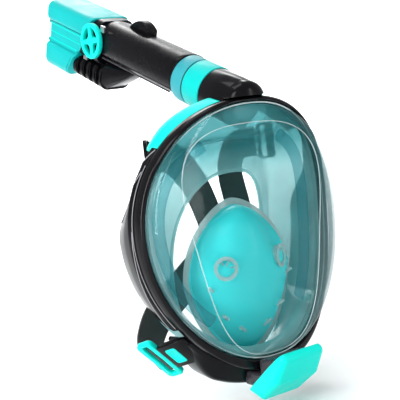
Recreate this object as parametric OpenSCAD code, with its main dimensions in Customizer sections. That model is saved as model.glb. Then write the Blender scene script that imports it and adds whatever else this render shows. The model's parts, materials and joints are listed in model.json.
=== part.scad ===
/* [Lens and ring] */
// Half width of the lens ring at mid height
ring_a = 99.2; // [94:0.1:104]
// Half height of the lens ring
ring_b = 110.1; // [106:0.1:114]
// Half width of the flat front panel at mid height
panel_a = 69.1; // [66:0.1:72]
// Half height of the flat front panel
panel_b = 100; // [98:0.5:101]
// Wall thickness of the lens
lens_t = 2.2; // [1.8:0.1:2.6]
/* [Frame] */
// Width of the front rim around the lens
rim_w = 4.2; // [3.8:0.1:4.8]
// Depth of the front rim at the sides
rim_d = 9; // [8:0.5:10]
/* [Skirt and cup] */
// Thickness of the silicone skirt
skirt_t = 2.3; // [2:0.1:3]
// Half width of the nose and mouth cup at its base
cup_a = 54; // [50:1:56]
/* [Snorkel] */
// Angle of the snorkel axis from upright
tube_tilt = 69.2; // [66:0.1:71]
// Outer radius of the snorkel socket
socket_r = 21.3; // [21:0.1:21.6]
// Outer radius of the coloured collars
collar_r = 22; // [21.8:0.1:22.6]
// Distance along the axis to the start of the cap at mid height
cap_s = 231; // [229:1:233]
// Distance along the axis to the end of the cap
cap_end = 303; // [300:1:306]
// Radius of the side dial
dial_r = 17.6; // [16.5:0.1:18]
// Travel of the float in the dry top
float_travel = 9; // [7:1:10]
/* [Strap] */
// Width of the head strap
strap_w = 33; // [30:1:34]
// Thickness of the head strap
strap_t = 2.4; // [2:0.1:3]

/* [Hidden] */
N = 64;
P0 = [0, -46.7, 139.8];
ring_zc = 31.9;
CK = "#16161a"; TQ = "#12c8c0"; TD = "#3aa8a8"; CL = [0.6, 0.9, 0.9, 0.35];

function sp(v, e) = abs(v) < 1e-9 ? 0 : sign(v) * pow(abs(v), e);
function lerp(a, b, t) = a + (b - a) * t;
function cl(v) = min(1, max(0, v));
function sm(v) = let(t = cl(v)) t * t * (3 - 2 * t);
// ring curve where the lens meets the frame, its outward normal, and an offset point
function rg(a) = let(s = sp(sin(a), 0.9), c = sp(cos(a), 0.9))
    [ring_a * (1 + 0.075 * s - 0.053 * s * s) * c, -24 + s - 28.3 * s * s, ring_zc + ring_b * s];
function rn(a) = let(s = sp(sin(a), 0.9), c = sp(cos(a), 0.9), v = [sp(c, 1.22) / ring_a, 0, sp(s, 1.22) / ring_b]) v / norm(v);
function ro(a, n, dy) = rg(a) + n * rn(a) + [0, dy, 0];
// flat front panel outline scaled by k
function pg(a, k) = let(s = sp(sin(a), 0.813), c = sp(cos(a), 0.764))
    [panel_a * (1 + 0.276 * s + 0.193 * s * s) * c * k, -50.8 + 3 * s * k, 25 + panel_b * s * k];
function bz(t, a, b) = 3 * (1 - t) * (1 - t) * t * a + 3 * (1 - t) * t * t * b + t * t * t;
function wall(P, R, t) = [P[0] + (R[0] - P[0]) * bz(t, 0.85, 1.2), P[1] + (R[1] - P[1]) * bz(t, 0.06, 0.3), P[2] + (R[2] - P[2]) * bz(t, 0.85, 1.2)];
function dep(a) = rim_d - 4.5 * pow(max(0, sin(a)), 16);

// closed mesh from rows of points: wrap joins the last row to the first, otherwise both ends get a fan
module skin(rows, wrap = false, flip = false) {
    m = len(rows); n = len(rows[0]);
    pts = concat([for (r = rows, p = r) p], wrap ? [] : [[for (k = [0:2]) sum(rows[0], k) / n], [for (k = [0:2]) sum(rows[m - 1], k) / n]]);
    q = [for (i = [0:m - (wrap ? 1 : 2)], j = [0:n - 1]) let(i2 = (i + 1) % m, j2 = (j + 1) % n, a = i * n + j, b = i * n + j2, c = i2 * n + j2, d = i2 * n + j)
        each [[a, b, c], [a, c, d]]];
    e = wrap ? [] : [for (j = [0:n - 1]) let(j2 = (j + 1) % n) each [[j2, j, m * n], [(m - 1) * n + j, (m - 1) * n + j2, m * n + 1]]];
    f = concat(q, e);
    polyhedron(pts, [for (t = f) flip ? [t[2], t[1], t[0]] : t]);
}
function sum(v, k, i = 0) = i >= len(v) ? 0 : v[i][k] + sum(v, k, i + 1);
function loop(f, n = N) = [for (i = [0:n - 1]) f(i * 360 / n)];
// band of section points [n, dy] swept along the ring from a0 to a1
module arc_band(a0, a1, m, sec, flip = false) { skin([for (i = [0:m]) let(a = a0 + (a1 - a0) * i / m) [for (q = sec(a)) ro(a, q[0], q[1])]], false, flip); }
// flat band through points with a width direction at each
function band_row(p, w, n, W, T) = [p - w * W / 2 - n * T / 2, p + w * W / 2 - n * T / 2, p + w * W / 2 + n * T / 2, p - w * W / 2 + n * T / 2];
function un(v) = v / norm(v);
module band(pts, wd, W, T) {
    m = len(pts) - 1;
    tg = [for (i = [0:m]) un(pts[min(m, i + 1)] - pts[max(0, i - 1)])];
    ww = [for (i = [0:m]) un(wd[i] - tg[i] * (wd[i] * tg[i]))];
    skin([for (i = [0:m]) band_row(pts[i], ww[i], cross(tg[i], ww[i]), W, T)], false, true);
}
function smooth3(p, k = 4) = [for (i = [0:len(p) - 2], j = [0:k - 1]) let(a = p[max(0, i - 1)], b = p[i], c = p[i + 1], d = p[min(len(p) - 1, i + 2)], t = j / k)
    0.5 * (2 * b + (c - a) * t + (2 * a - 5 * b + 4 * c - d) * t * t + (3 * b - 3 * c + d - a) * t * t * t), p[len(p) - 1]];
module mx() { mirror([1, 0, 0]) children(); }
// local frame of the snorkel: +Z along the tube, +Y to its front face
module snk() { translate(P0) rotate([-tube_tilt, 0, 0]) children(); }
module rr(x0, x1, y0, y1, r) { hull() for (x = [x0 + r, x1 - r], y = [y0 + r, y1 - r]) translate([x, y]) circle(r, $fn = 32); }
module revolve(p) { rotate_extrude($fn = 72) polygon(p); }

// ---------- lens, frame ----------
module chin_axis() { translate([0, -50, -84]) rotate([124.5, 0, 0]) children(); }
module lens_body() {
    let(o = function(t) loop(function(a) wall(pg(a, 1), rg(a), t)), q = function(t) loop(function(a) wall(pg(a, 0.972) + [0, lens_t, 0], ro(a, -lens_t, 0), t)))
    skin(concat([loop(function(a) pg(a, 0.5)), loop(function(a) pg(a, 0.97))], [for (t = [0, 0.15, 0.3, 0.45, 0.6, 0.75, 0.88, 1]) o(t)],
        [loop(function(a) ro(a, 0, 0.45 * dep(a))), loop(function(a) ro(a, -lens_t, 0.45 * dep(a)))],
        [for (t = [1, 0.88, 0.7, 0.5, 0.3, 0.12, 0]) q(t)], [loop(function(a) pg(a, 0.5) + [0, lens_t, 0])]), false, false);
}
module lens() color(CL) difference() {
    lens_body();
    chin_axis() translate([0, 0, -30]) cylinder(r = 13, h = 60, $fn = 12);
}
function rim_sec(a) = let(w = rim_w + 5.5 * pow(max(0, -sin(a)), 4), d = dep(a)) [[0.35, 0.3], [1.6, -3], [w - 1.2, -2.6], [w + 0.6, -0.6], [w + 1.2, d * 0.5], [w + 1.2, d], [0.35, d]];
module front_frame() color(CK) difference() {
    skin([for (i = [0:N - 1]) let(a = i * 360 / N) [for (q = rim_sec(a)) ro(a, q[0], q[1])]], true, true);
    chin_axis() translate([0, 0, -30]) cylinder(r = 12.4, h = 60, $fn = 64);
    snk() translate([0, 0, -0.2]) cylinder(r = 21.6, h = 20, $fn = 64);
}
// dome over the snorkel port with the spigot the socket sits on
module port_hood() color(CK) {
    difference() {
        snk() revolve(concat([for (t = [0:9:90]) [socket_r * sin(t), -12 * cos(t)]], [[socket_r, 3.5], [19.2, 3.5], [19.2, 0.6], [17, 0.6], [17, 3.4], [16.5, 3.4], [16.5, -0.5], [12, -6.5], [0, -9.5]]));
        translate([-40, -100, 60]) cube([80, 60, 87.6]);
        translate([-40, -45, 60]) cube([80, 60, 87.6]);
    }
    snk() difference() { translate([0, 0, 0.9]) cylinder(r = 16.98, h = 8.1, $fn = 72); translate([0, 0, -1]) cylinder(r = 14, h = 12, $fn = 72); }
}
function brow_D(b) = 37 * (1 - pow(cl(b / 60), 2.6));
module brow_half() arc_band(43, 79, 16, function(a) let(b = 90 - a, D = brow_D(b), d = dep(a) + 0.4)
    [[3.2, d], [5.4, d], [9.1, d + D * 0.35 + 0.5], [6.8, d + D * 0.7 + 1], [2.8, d + D + 1.5], [0.3, d + D + 1.2], [4.3, d + D * 0.7 + 0.6], [6.4, d + D * 0.35 + 0.5]], true);
module brow_cover_right() color(TQ) brow_half();
module brow_cover_left() color(TQ) mx() brow_half();
// side arm of the rear frame: depth D and rear inset vary along the ring
function arm_D(e) = e < 0 ? 44 - 23 * sm(-e / 24) - 6 * sm((-e - 24) / 14) : 44 + 2 * sm(e / 30);
function arm_n(e) = 3.5 - 4 * sm((e + 30) / 30);
module arm_half() arc_band(42.5, -37, 24, function(a) let(e = -a, D = arm_D(e), f = dep(a) + 0.4, n = arm_n(e))
    [[5.4, f], [7.4, f + 5], [lerp(9.4, n, 0.45), lerp(f, D, 0.5)], [n, D], [n - 2.8, D - 1], [lerp(9.4, n, 0.45) - 3, lerp(f, D, 0.5)], [4.2, f + 5], [2.6, f]], false);
module side_arm_right() color(CK) arm_half();
module side_arm_left() color(CK) mx() arm_half();
function chin_g(a) = sm((a - 226) / 20) * sm((314 - a) / 20);
module chin_plane(o) { translate([0, -79, -74]) rotate([141.2, 0, 0]) translate([-60, -80, o]) cube([120, 160, 100]); }
module chin_housing() color(CK) difference() {
    union() {
        arc_band(225, 315, 22, function(a) let(g = chin_g(a), f = dep(a) + 0.4) [[3, f], [9.8, f], [10.6 + 13 * g, f + 7], [11 + 14 * g, f + 12], [9 + 13 * g, f + 32 + 6 * g], [5 + 8 * g, f + 34 + 6 * g], [4 + 3.5 * g, f + 24]], true);
        difference() {
            hull() { for (x = [-20, 20]) { translate([x, -59.2, -78.5]) sphere(2.5, $fn = 20); translate([x, -74, -76]) sphere(2, $fn = 20); translate([x, -59.2, -98]) sphere(2.5, $fn = 20); translate([x, -74, -90]) sphere(2, $fn = 20); } }
            chin_plane(-0.3);
        }
        difference() {
            hull() for (x = [-21, 21], y = [-58, -38], z = [-99, -91]) translate([x, y, z]) sphere(2.4, $fn = 20);
            chin_plane(-0.3);
        }
        chin_axis() translate([0, 0, -12]) cylinder(r = 12.2, h = 20, $fn = 64);
    }
    chin_axis() translate([0, 0, -30]) cylinder(r = 9, h = 60, $fn = 64);
    chin_axis() translate([0, 0, 9.2]) cylinder(r = 15.4, h = 40, $fn = 64);
    clipf() arm_root(0.15);
    mx() clipf() arm_root(0.15);
}
module chin_valve_seat() color(CK) chin_axis() {
    difference() { translate([0, 0, 9.3]) cylinder(r = 15, h = 2.6, $fn = 64); translate([0, 0, 8]) cylinder(r = 9, h = 6, $fn = 64); }
    difference() { translate([0, 0, 9.3]) union() { for (t = [0:60:120]) rotate(t) translate([-9.5, -0.8, 0]) cube([19, 1.6, 2]); cylinder(r = 2.4, h = 2, $fn = 32); } translate([0, 0, 8]) difference() { cylinder(r = 20, h = 5, $fn = 64); translate([0, 0, -1]) cylinder(r = 9.2, h = 7, $fn = 64); } }
}
module chin_valve_flap() color([0.9, 0.95, 0.95, 0.7]) chin_axis() translate([0, 0, 12.1]) { cylinder(r = 11.5, h = 1.1, $fn = 64); cylinder(r = 2, h = 2, $fn = 32); }
module chin_cover() color(TQ) difference() {
    hull() { for (x = [-1, 1]) { translate([x * 18, -85, -73.5]) sphere(6, $fn = 24); translate([x * 19, -75, -91]) sphere(6, $fn = 24); translate([x * 17, -54, -107]) sphere(6, $fn = 24); translate([x * 19, -62, -70]) sphere(4, $fn = 20); translate([x * 18, -38, -103]) sphere(4.5, $fn = 20); } }
    hull() { for (x = [-1, 1]) { translate([x * 18, -85, -73.5]) sphere(3.6, $fn = 20); translate([x * 19, -75, -91]) sphere(3.6, $fn = 20); translate([x * 17, -54, -107]) sphere(3.6, $fn = 20); translate([x * 19, -56, -64]) sphere(3, $fn = 16); translate([x * 18, -30, -99]) sphere(3, $fn = 16); } }
    difference() { translate([-60, -120, -150]) cube([120, 120, 120]); chin_plane(0); }
}
// ---------- skirt, ducts, cup ----------
function sB(a) = let(s = sp(sin(a), 0.87), c = sp(cos(a), 0.87)) [80 * (1 + 0.05 * s) * c, 34 - 44 * s * s, 14 + 98 * s];
function sE(a) = let(s = sp(sin(a), 0.75), c = sp(cos(a), 0.75)) [54 * (1 - 0.1 * s) * c, 12 - 28 * s * s, 83 * s];
function tp(a) = pow(max(0, sin(a)), 5);
function sD(a) = ro(a, -6 - 18.5 * tp(a), lerp(16, 8.6, tp(a)));
function in_v(a, k) = rn(a) * (-k * (1 - tp(a))) + [0, -k * tp(a), 0];
module face_skirt() color([0.4, 0.85, 0.85, 0.8]) difference() {
    skin([loop(function(a) ro(a, -0.5, 0.5 * dep(a) + 0.2)), loop(function(a) ro(a, -0.5, dep(a) - 0.3)), loop(function(a) sD(a)),
        loop(function(a) lerp(sD(a), sB(a), 0.5) + rn(a) * 2 * (1 - tp(a)) + [0, 0, -1.5 * tp(a)]), loop(function(a) sB(a)),
        loop(function(a) lerp(sB(a), sE(a), 0.5) + [0, 2, 0]), loop(function(a) sE(a)),
        loop(function(a) sE(a) + [0, -skirt_t, 0]), loop(function(a) lerp(sB(a), sE(a), 0.5) + [0, 2 - skirt_t, 0]),
        loop(function(a) sB(a) * 0.972 + [0, -skirt_t, 0]),
        loop(function(a) lerp(sD(a), sB(a), 0.5) + rn(a) * (2 * (1 - tp(a)) - skirt_t) + [0, 0, -1.5 * tp(a)]),
        loop(function(a) sD(a) + in_v(a, skirt_t)), loop(function(a) ro(a, -0.5 - skirt_t, 0.5 * dep(a) + 0.2))], true, false);
    chin_axis() translate([0, 0, -30]) cylinder(r = 13, h = 60, $fn = 12);
    translate([0, 0.12, 0]) lens_body();
    translate([-16, -60, 132]) cube([32, 12.1, 10]);
    snk() translate([0, 0, 0.7]) cylinder(r = 19.6, h = 20, $fn = 64);
}
module duct_half() arc_band(60, -48, 30, function(a) let(k = 16 + 4 * sm((a - 30) / 30)) [[-k, 4], [-k + 3.4, 6], [-k + 3.4, 9.5], [-k, 11.5], [-k - 4.6, 11.5], [-k - 8, 9.5], [-k - 8, 6], [-k - 4.6, 4]], false);
module air_duct_right() color([0.2, 0.65, 0.7, 0.6]) duct_half();
module air_duct_left() color([0.2, 0.65, 0.7, 0.6]) mx() duct_half();
function cupc(a, k, y, z0, g) = let(u = sin(a), s = sp(u, u > 0 ? 0.9 : 1.1), c = sp(cos(a), u > 0 ? 0.9 : 1.0)) [(cup_a - g) * k * c, y, z0 + k * ((u > 0 ? 60 : 70) - g) * s];
function cup_k(t) = pow(1 - pow(t, 1.9), 1 / 1.9);
module inh_pos() { translate([-30, -35.2, 3]) rotate([0, 0, -30]) rotate([90, 0, 0]) children(); }
module nose_cup() color(TQ) difference() {
    skin(concat([for (t = [0.995, 0.96, 0.88, 0.76, 0.62, 0.45, 0.28, 0.12, 0]) loop(function(a) cupc(a, cup_k(t), -13 - 29 * t, lerp(-8, 4, t), 0), 48)],
        [for (t = [0, 0.14, 0.3, 0.48, 0.65, 0.8, 0.92, 0.985]) loop(function(a) cupc(a, cup_k(t), -13 - 26.5 * t, lerp(-8, 4, t), 2.6), 48)]), false, false);
    inh_pos() translate([0, 0, -12]) cylinder(r = 9.1, h = 24, $fn = 48);
    mx() inh_pos() translate([0, 0, -12]) cylinder(r = 9.1, h = 24, $fn = 48);
}
module cup_studs() color([0.9, 0.95, 0.95]) for (x = [1, -1]) { for (p = [[43.5, -29, -14], [31, -29, -41], [14, -29, -55]]) translate([x * p[0], p[1], p[2]]) rotate([60, 0, x * 60]) cylinder(r = 1.6, h = 9, $fn = 24, center = true); }
module inh_seat() inh_pos() { difference() { union() { translate([0, 0, -2.4]) cylinder(r = 9, h = 5, $fn = 48); translate([0, 0, 1.6]) cylinder(r = 10.6, h = 1.6, $fn = 48); } translate([0, 0, -5]) cylinder(r = 7.4, h = 10, $fn = 48); }
    difference() { for (t = [0:60:120]) rotate(t) translate([-7.6, -0.6, -2.2]) cube([15.2, 1.2, 1.8]); } }
module inhale_seat_left() color([0.9, 0.93, 0.93]) inh_seat();
module inhale_seat_right() color([0.9, 0.93, 0.93]) mx() inh_seat();
module inh_flap() inh_pos() translate([0, 0, -3.7]) cylinder(r = 8.3, h = 1, $fn = 48);
module inhale_flap_left() color([0.85, 0.95, 0.95, 0.8]) inh_flap();
module inhale_flap_right() color([0.85, 0.95, 0.95, 0.8]) mx() inh_flap();
// ---------- snorkel ----------
module snorkel_socket() color(CK) snk() revolve([[17.1, 3.9], [socket_r, 3.9], [socket_r, 37.8], [19.4, 37.8], [19.4, 61.6], [17.1, 61.6]]);
module port_seal() color("black") snk() revolve([[17.2, 1.2], [18.2, 0.9], [19, 1.6], [19, 3.2], [18.2, 3.8], [17.2, 3.5]]);
module lock_collar() color("#20d0d0") snk() revolve([[19.45, 38.1], [collar_r - 0.6, 38.1], [collar_r, 38.7], [collar_r, 61], [collar_r - 0.6, 61.6], [19.45, 61.6]]);
module tube_ring() color(TD) snk() revolve([[14, 44], [15.4, 44], [15.8, 45], [15.8, 63.3], [collar_r - 0.6, 63.3], [collar_r, 63.9], [collar_r, 77.8], [collar_r - 0.6, 78.4], [14, 78.4]]);
module plug_seal() color("black") snk() { for (z = [48, 55]) translate([0, 0, z]) rotate_extrude($fn = 64) translate([16.42, 0]) circle(0.55, $fn = 24); revolve([[18, 62], [20.6, 62], [20.6, 63.1], [18, 63.1]]); }
module tube2(o) { translate([0, -2.5]) scale(1) polygon([for (t = [0:5:355]) [(20.3 - o) * sp(cos(t), 0.8), (19.4 - o) * sp(sin(t), 0.8)]]); }
module snorkel_tube() color(CK) snk() translate([0, 0, 78.6]) difference() { linear_extrude(127) tube2(0); translate([0, 0, -1]) linear_extrude(140) tube2(2.4); }
module air_divider() color("#202024") snk() translate([0, 0, 80]) difference() { translate([-17.6, -0.8, 0]) cube([35.2, 1.6, 122]); translate([-5, -3, 100]) cube([10, 6, 30]); }
// lobed section of the dry top: dorsal lobe, flat web, ventral lobe
module lobes(o) {
    rr(-25 + o, 25 - o, -22.5 + o, -1 - o * 0.4, 9 - o * 0.5);
    translate([-20.5 + o, -10]) square([41 - 2 * o, 42]);
    rr(-25 + o, 25 - o, 20 + o * 0.4, 48 - o, 11 - o * 0.5);
}
module slant(o) { translate([0, 12.5, cap_s + 7.75 + o]) rotate([31.8, 0, 0]) children(); }
module under_slant() { difference() { children(); slant(-0.4) translate([-60, -80, 0]) cube([120, 160, 120]); } }
module dry_top_body() color(CK) snk() difference() {
    union() {
        translate([0, 0, 205.8]) linear_extrude(12) tube2(0);
        translate([0, 0, 214]) linear_extrude(44) rr(-20.4, 20.4, -22, 22, 9);
    }
    slant(-0.4) translate([-60, -80, 0]) cube([120, 160, 120]);
    translate([0, 0, 190]) linear_extrude(90) rr(-17.6, 17.6, -19, 16, 7);
    translate([-30, -1.3, 212.9]) rotate([0, 90, 0]) cylinder(r = 3.05, h = 20, $fn = 40);
}
module rib(z, y0, y1, x, h) { translate([0, 0, z]) linear_extrude(h) difference() { rr(-x, x, y0, y1, 9); rr(-9.5, 9.5, y0 + 2.4, y0 + 16, 4); } }
module intake_grille() color(CK) snk() {
    under_slant() for (i = [0:4]) rib(200 + i * 10.6, 22.2, 47 - 0.8 * i, 17.5 + i, 6.6);
    under_slant() difference() {
        translate([0, 0, 200]) linear_extrude(60) difference() { rr(-12, 12, 22.2, 41, 5); rr(-9.5, 9.5, 24.6, 38.2, 4); }
        for (i = [0:3]) translate([-20, 26, 207.2 + i * 10.6]) cube([40, 11, 2.8]);
    }
    hull() { translate([-6, 17.3, 160]) cube([12, 1.5, 2]); translate([0, 0, 199]) linear_extrude(1.2) rr(-17, 17, 17.6, 45, 9); translate([0, 0, 180]) linear_extrude(2) rr(-12, 12, 17.5, 31, 5); }
}
module rear_vent() color(CK) snk() hull() { translate([0, -23.4, 151]) cube([11, 1.2, 2]); translate([-1, -31.5, 160]) cube([12, 9.3, 11]); translate([0, -23.4, 179]) cube([11, 1.2, 2]); }
module dial_wheel() color(TQ) snk() translate([-20.9, -1.3, 212.9]) rotate([0, -90, 0]) {
    difference() { cylinder(r = dial_r, h = 5.4, $fn = 72); translate([0, 0, -1]) cylinder(r = dial_r - 4.2, h = 8, $fn = 72); }
    difference() { translate([0, 0, 0.8]) for (t = [0:60:120]) rotate(t) translate([-dial_r + 2, -2.2, 0]) cube([2 * dial_r - 4, 4.4, 3.4]); translate([0, 0, -1]) difference() { cylinder(r = 40, h = 9, $fn = 48); translate([0, 0, -1]) cylinder(r = dial_r - 3.8, h = 12, $fn = 72); } }
    translate([0, 0, 0.8]) cylinder(r = 5.6, h = 4.2, $fn = 48);
    translate([0, 0, -7]) cylinder(r = 3, h = 9, $fn = 40);
}
module cap_clip() color("silver") snk() { translate([-22.5, -20, 193]) cube([1.9, 6, 7]); translate([-22.5, 17.2, 221]) cube([1.9, 3.6, 7]); }
module dry_top_cap() color(TQ) snk() difference() {
    union() {
        difference() { translate([0, 0, 200]) linear_extrude(cap_end - 204) lobes(0); slant(0) translate([-60, -80, -90]) cube([120, 160, 90]); }
        translate([0, 0, cap_end - 4.02]) linear_extrude(2.1) lobes(1.2);
        translate([0, 0, cap_end - 2]) linear_extrude(2) lobes(3);
    }
    translate([0, 0, 190]) linear_extrude(cap_end - 196) lobes(1.9);
    translate([-31, -1.3, 212.9]) rotate([0, 90, 0]) cylinder(r = 18.3, h = 10.5, $fn = 72);
    for (y = [2, 10.5, 19]) translate([-21.3, y - 0.8, 262]) cube([1.1, 1.6, 20]);
}
module float_guide() color("#303036") snk() { difference() { translate([0, 0, 244]) linear_extrude(2.2) rr(-17.6, 17.6, -18.8, 15.8, 7); translate([0, -1.5, 240]) cylinder(r = 9, h = 10, $fn = 48); for (x = [-13, 13]) translate([x, -1.5, 240]) cylinder(r = 1.2, h = 10, $fn = 24); }
    for (x = [-13, 13]) translate([x, -1.5, 244]) cylinder(r = 1.2, h = 52, $fn = 24); }
module float() color("white") snk() difference() { translate([0, 0, 262]) linear_extrude(22) rr(-16.5, 16.5, -15, 12, 6); for (x = [-13, 13]) translate([x, -1.5, 250]) cylinder(r = 1.26, h = 50, $fn = 24); }
module float_seal() color("#d04040") snk() translate([0, -1.5, 258.8]) cylinder(r = 11, h = 3.1, $fn = 48);
// ---------- strap hardware ----------
// local frame of a lower clip: X along the strap width, Y the way the strap leaves, Z inward
module clipf() { multmatrix([[0.682, -0.302, 0.668, -81], [-0.017, 0.905, 0.427, 5], [-0.732, -0.302, 0.612, -70]]) children(); }
module bx(x0, x1, y0, y1, z0, z1, r = 1.5) { translate([0, 0, z0]) linear_extrude(z1 - z0) rr(x0, x1, y0, y1, r); }
module arm_root(g) { hull() { bx(-15 - g, 15 + g, -12, -8.2, -2.4 - g, 2.6 + g); bx(-15 - g, 15 + g, -33, -29, -2.4 - g, 3.4 + g); bx(-12 - g, 12 + g, -38.6 - g, -35, 0.6 - g, 4.6 + g); } }
module clip_arm() clipf() difference() {
    arm_root(0);
    bx(-10, 10, -25.5, -13.5, -5, 0.6);
    bx(-8, 8, -27, -7, 0.2, 1.6);
}
module clip_arm_right() color(CK) mx() clip_arm();
module clip_arm_left() color(CK) clip_arm();
module clip() clipf() difference() { bx(-24, 24, -8.2, 8.2, -2.4, 2.4, 4); bx(-20, 20, -3.4, 3.6, -5, 5, 1.5); }
module strap_clip_left() color(TQ) clip();
module strap_clip_right() color(TQ) mx() clip();
module latch() clipf() bx(-9.7, 9.7, -25.2, -13.8, -2.8, -1.0, 1);
module latch_left() color(TQ) latch();
module latch_right() color(TQ) mx() latch();
module anchor() translate([-67.5, 9, 103]) rotate([0, 0, 48]) rotate([90, 0, 0]) difference() { translate([0, 0, -1.5]) linear_extrude(3) rr(-7, 9, -16.5, 16.5, 3); translate([0, 0, -3]) linear_extrude(6) rr(0.6, 5.4, -14.8, 14.8, 1); }
module strap_anchor_left() color(CK) anchor();
module strap_anchor_right() color(CK) mx() anchor();
SC = "#22221f";
UL = smooth3([[-60.5, 16.8, 103], [-48, 25, 103], [-26, 30, 97], [-8, 28, 73], [3, 26, 42], [5, 26, 31]]);
UR = smooth3([[60.5, 16.8, 103], [54, 24, 103], [44, 30, 97], [35, 28, 77], [38.5, 26, 45], [38.5, 26, 31]]);
module strap_upper_left() color(SC) band(UL, [for (i = [0:len(UL) - 1]) lerp([0.25, 0, 1], [0.95, 0, 0.3], sm(i / 9))], strap_w - 4, strap_t);
module strap_upper_right() color(SC) band(UR, [for (i = [0:len(UR) - 1]) lerp([-0.25, 0, 1], [-0.95, 0, 0.05], sm(i / 9))], strap_w - 4, strap_t);
module strap_pad() color(SC) translate([0, 27.3, 0]) rotate([90, 0, 0]) linear_extrude(strap_t + 0.2) polygon([[-7, 26], [8, 28.2], [22, 29.6], [36, 28.2], [50, 28.5], [51, 8], [46, -12], [30, -24], [12, -24], [-3, -12], [-8, 8]]);
LL = smooth3([[-9.2, 30.4, -3], [-30, 34.4, -20], [-58, 36, -42], [-75, 29, -61], [-81.8, 19.9, -71.0], [-79.6, 13.6, -68.9], [-78.8, 9.1, -68.0], [-80.1, 5.8, -69.2], [-81.7, 4.7, -70.6]]);
LR = smooth3([[52.3, 30.4, -3], [63, 34.4, -19], [71, 35, -40], [78, 28, -61], [81.8, 19.9, -71.0], [79.6, 13.6, -68.9], [78.8, 9.1, -68.0], [80.1, 5.8, -69.2], [81.7, 4.7, -70.6]]);
module strap_lower_left() color(SC) band(LL, [for (i = [0:len(LL) - 1]) lerp([0.5, 0, -0.86], [0.682, -0.017, -0.732], i / (len(LL) - 1))], strap_w, strap_t);
module strap_lower_right() color(SC) band(LR, [for (i = [0:len(LR) - 1]) lerp([-0.5, 0, -0.86], [-0.682, -0.017, -0.732], i / (len(LR) - 1))], strap_w, strap_t);
module frame_screws() color("#808088") for (a = [20, 160, 215, 325]) translate(ro(a, 2.9, dep(a) - 4)) rotate([-90, 0, 0]) { cylinder(r = 1.2, h = 5, $fn = 24); translate([0, 0, 4.2]) cylinder(r = 0.9, h = 0.9, $fn = 24); }

lens();
front_frame();
port_hood();
brow_cover_left();
brow_cover_right();
side_arm_left();
side_arm_right();
chin_housing();
chin_valve_seat();
chin_valve_flap();
chin_cover();
face_skirt();
air_duct_left();
air_duct_right();
nose_cup();
cup_studs();
inhale_seat_left();
inhale_seat_right();
inhale_flap_left();
inhale_flap_right();
snorkel_socket();
port_seal();
lock_collar();
tube_ring();
plug_seal();
snorkel_tube();
air_divider();
dry_top_body();
intake_grille();
rear_vent();
dial_wheel();
cap_clip();
dry_top_cap();
float_guide();
float();
float_seal();
clip_arm_left();
clip_arm_right();
strap_clip_left();
strap_clip_right();
latch_left();
latch_right();
strap_anchor_left();
strap_anchor_right();
strap_upper_left();
strap_upper_right();
strap_pad();
strap_lower_left();
strap_lower_right();
frame_screws();
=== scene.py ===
import json
import math
import bpy
import numpy as np
from mathutils import Matrix, Vector

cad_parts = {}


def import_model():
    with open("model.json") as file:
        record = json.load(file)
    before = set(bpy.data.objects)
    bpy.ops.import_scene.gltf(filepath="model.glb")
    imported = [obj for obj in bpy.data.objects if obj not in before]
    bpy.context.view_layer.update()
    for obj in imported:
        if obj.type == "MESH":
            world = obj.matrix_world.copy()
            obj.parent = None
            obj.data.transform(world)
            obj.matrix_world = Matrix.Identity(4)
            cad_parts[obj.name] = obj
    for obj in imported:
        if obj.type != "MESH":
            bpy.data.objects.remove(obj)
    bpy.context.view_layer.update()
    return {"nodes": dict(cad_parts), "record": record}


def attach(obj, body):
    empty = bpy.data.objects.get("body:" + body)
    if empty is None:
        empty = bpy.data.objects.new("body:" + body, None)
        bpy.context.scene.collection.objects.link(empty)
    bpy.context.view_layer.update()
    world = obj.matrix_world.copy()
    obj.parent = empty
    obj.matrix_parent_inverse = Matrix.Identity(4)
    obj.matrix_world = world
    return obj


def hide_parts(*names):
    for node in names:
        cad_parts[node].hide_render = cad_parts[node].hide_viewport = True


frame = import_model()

C = bpy.data.collections.new("snorkel_visual"); bpy.context.scene.collection.children.link(C)
rad = math.radians
# ---------------------------------------------------------------- numbers shared with the CAD, in mm
RA, RB, PA, PB, LT, RW, RD, ST, CUPA = 99.2, 110.1, 69.1, 100.0, 2.2, 4.2, 9.0, 2.3, 54.0
TH, SR, CR, CAPS, CAPE, DR = 69.2, 21.3, 22.0, 231.0, 303.0, 17.6
P0 = np.array([0, -46.7, 139.8])
T = np.array([0, math.sin(rad(TH)), math.cos(rad(TH))]); V = np.array([0, math.cos(rad(TH)), -math.sin(rad(TH))])
def sp(v, e): return 0.0 if abs(v) < 1e-9 else math.copysign(abs(v) ** e, v)
def lerp(a, b, t): return a + (b - a) * t
def cl(v): return min(1.0, max(0.0, v))
def sm(v): t = cl(v); return t * t * (3 - 2 * t)
def sc(a): return math.sin(rad(a)), math.cos(rad(a))
def rg(a):
    s0, c0 = sc(a); s, c = sp(s0, 0.9), sp(c0, 0.9)
    return np.array([RA * (1 + .075 * s - .053 * s * s) * c, -24 + s - 28.3 * s * s, 31.9 + RB * s])
def rn(a):
    s0, c0 = sc(a); v = np.array([sp(sp(c0, .9), 1.22) / RA, 0, sp(sp(s0, .9), 1.22) / RB]); return v / np.linalg.norm(v)
def ro(a, n, dy): return rg(a) + n * rn(a) + np.array([0, dy, 0])
def pg(a, k):
    s0, c0 = sc(a); s, c = sp(s0, .813), sp(c0, .764)
    return np.array([PA * (1 + .276 * s + .193 * s * s) * c * k, -50.8 + 3 * s * k, 25 + PB * s * k])
def bz(t, a, b): return 3 * (1 - t) ** 2 * t * a + 3 * (1 - t) * t * t * b + t ** 3
def wall(P, R, t):
    return np.array([P[0] + (R[0] - P[0]) * bz(t, .85, 1.2), P[1] + (R[1] - P[1]) * bz(t, .06, .3), P[2] + (R[2] - P[2]) * bz(t, .85, 1.2)])
def dep(a): return RD - 4.5 * max(0, sc(a)[0]) ** 16
def L(p): return P0 + np.array([p[0], 0, 0]) + V * p[1] + T * p[2]

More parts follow.
